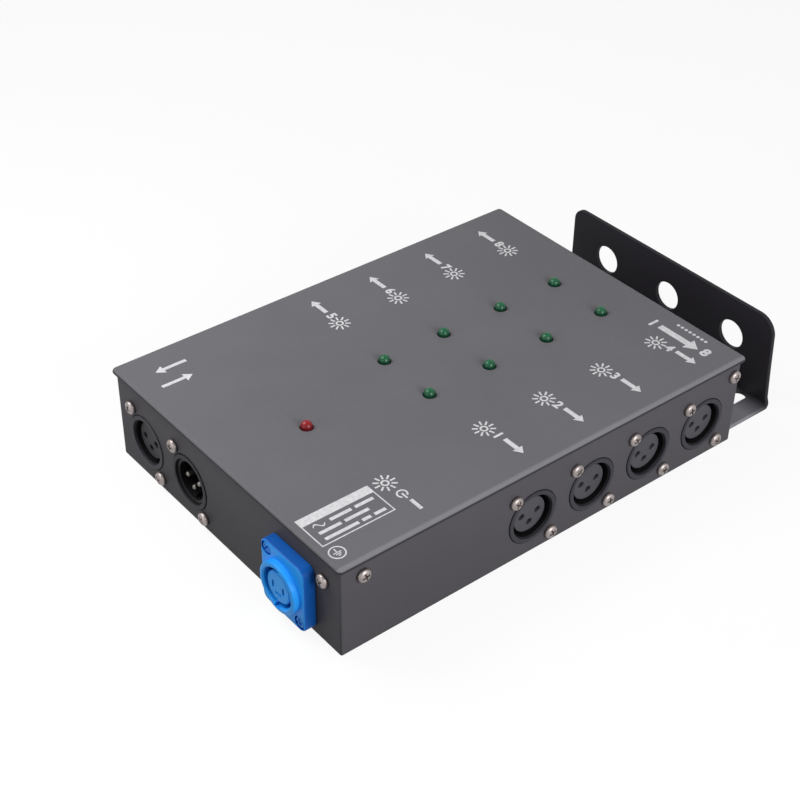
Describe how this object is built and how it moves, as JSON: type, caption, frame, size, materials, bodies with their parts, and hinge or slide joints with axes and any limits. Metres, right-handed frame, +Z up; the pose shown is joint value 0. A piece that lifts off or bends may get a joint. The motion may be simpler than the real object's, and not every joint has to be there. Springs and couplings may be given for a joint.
{
  "type": "dmx splitter",
  "caption": "Low sheet-steel case with rows of round data sockets along both long sides, a blue power inlet and data sockets on one end, lamps on top and a hanging bracket on the other end.",
  "frame": {"origin": "middle of the underside of the bounding box, inlet ring and hanging bracket included", "axes": "+X from the inlet end to the hanging bracket, +Z up through the lamps, -Y to the side seen in front"},
  "size_m": [0.2406, 0.1516, 0.0454],
  "materials": {
    "case_coat": "dark grey satin powder coat",
    "bracket_coat": "near-black satin powder coat",
    "socket_grey": "dark grey",
    "inlet_blue": "satin blue",
    "screw_zinc": "zinc plated",
    "lamp_red": "clear tinted",
    "lamp_green": "clear tinted",
    "board": "green solder mask",
    "winding": "yellow tape over laminated core",
    "capacitor_can": "sleeved can",
    "wire": "matt"
  },
  "bodies": {
    "root": {"base_tray": "case_coat", "side_panel_near": "case_coat", "side_panel_far": "case_coat", "top_cover": "case_coat", "hanging_bracket": "bracket_coat", "output_socket_1": "socket_grey", "output_1_screw_upper": "screw_zinc", "output_1_screw_lower": "screw_zinc", "output_socket_2": "socket_grey", "output_2_screw_upper": "screw_zinc", "output_2_screw_lower": "screw_zinc", "output_socket_3": "socket_grey", "output_3_screw_upper": "screw_zinc", "output_3_screw_lower": "screw_zinc", "output_socket_4": "socket_grey", "output_4_screw_upper": "screw_zinc", "output_4_screw_lower": "screw_zinc", "output_socket_5": "socket_grey", "output_5_screw_upper": "screw_zinc", "output_5_screw_lower": "screw_zinc", "output_socket_6": "socket_grey", "output_6_screw_upper": "screw_zinc", "output_6_screw_lower": "screw_zinc", "output_socket_7": "socket_grey", "output_7_screw_upper": "screw_zinc", "output_7_screw_lower": "screw_zinc", "output_socket_8": "socket_grey", "output_8_screw_upper": "screw_zinc", "output_8_screw_lower": "screw_zinc", "data_through_socket": "socket_grey", "data_through_screw_upper": "screw_zinc", "data_through_screw_lower": "screw_zinc", "data_input_socket": "socket_grey", "data_input_screw_upper": "screw_zinc", "data_input_screw_lower": "screw_zinc", "power_inlet": "inlet_blue", "power_inlet_screw_upper": "screw_zinc", "power_inlet_screw_lower": "screw_zinc", "cover_screw_near_front": "screw_zinc", "cover_screw_near_back": "screw_zinc", "cover_screw_far_front": "screw_zinc", "cover_screw_far_back": "screw_zinc", "cover_screw_front": "screw_zinc", "cover_screw_back": "screw_zinc", "bracket_screw_near": "screw_zinc", "bracket_screw_far": "screw_zinc", "power_lamp": "lamp_red", "output_lamp_1": "lamp_green", "output_lamp_2": "lamp_green", "output_lamp_3": "lamp_green", "output_lamp_4": "lamp_green", "output_lamp_5": "lamp_green", "output_lamp_6": "lamp_green", "output_lamp_7": "lamp_green", "output_lamp_8": "lamp_green", "main_board": "board", "power_supply_board": "board", "supply_transformer": "winding", "supply_capacitor": "capacitor_can", "mains_lead": "wire"}
  },
  "joints": []
}
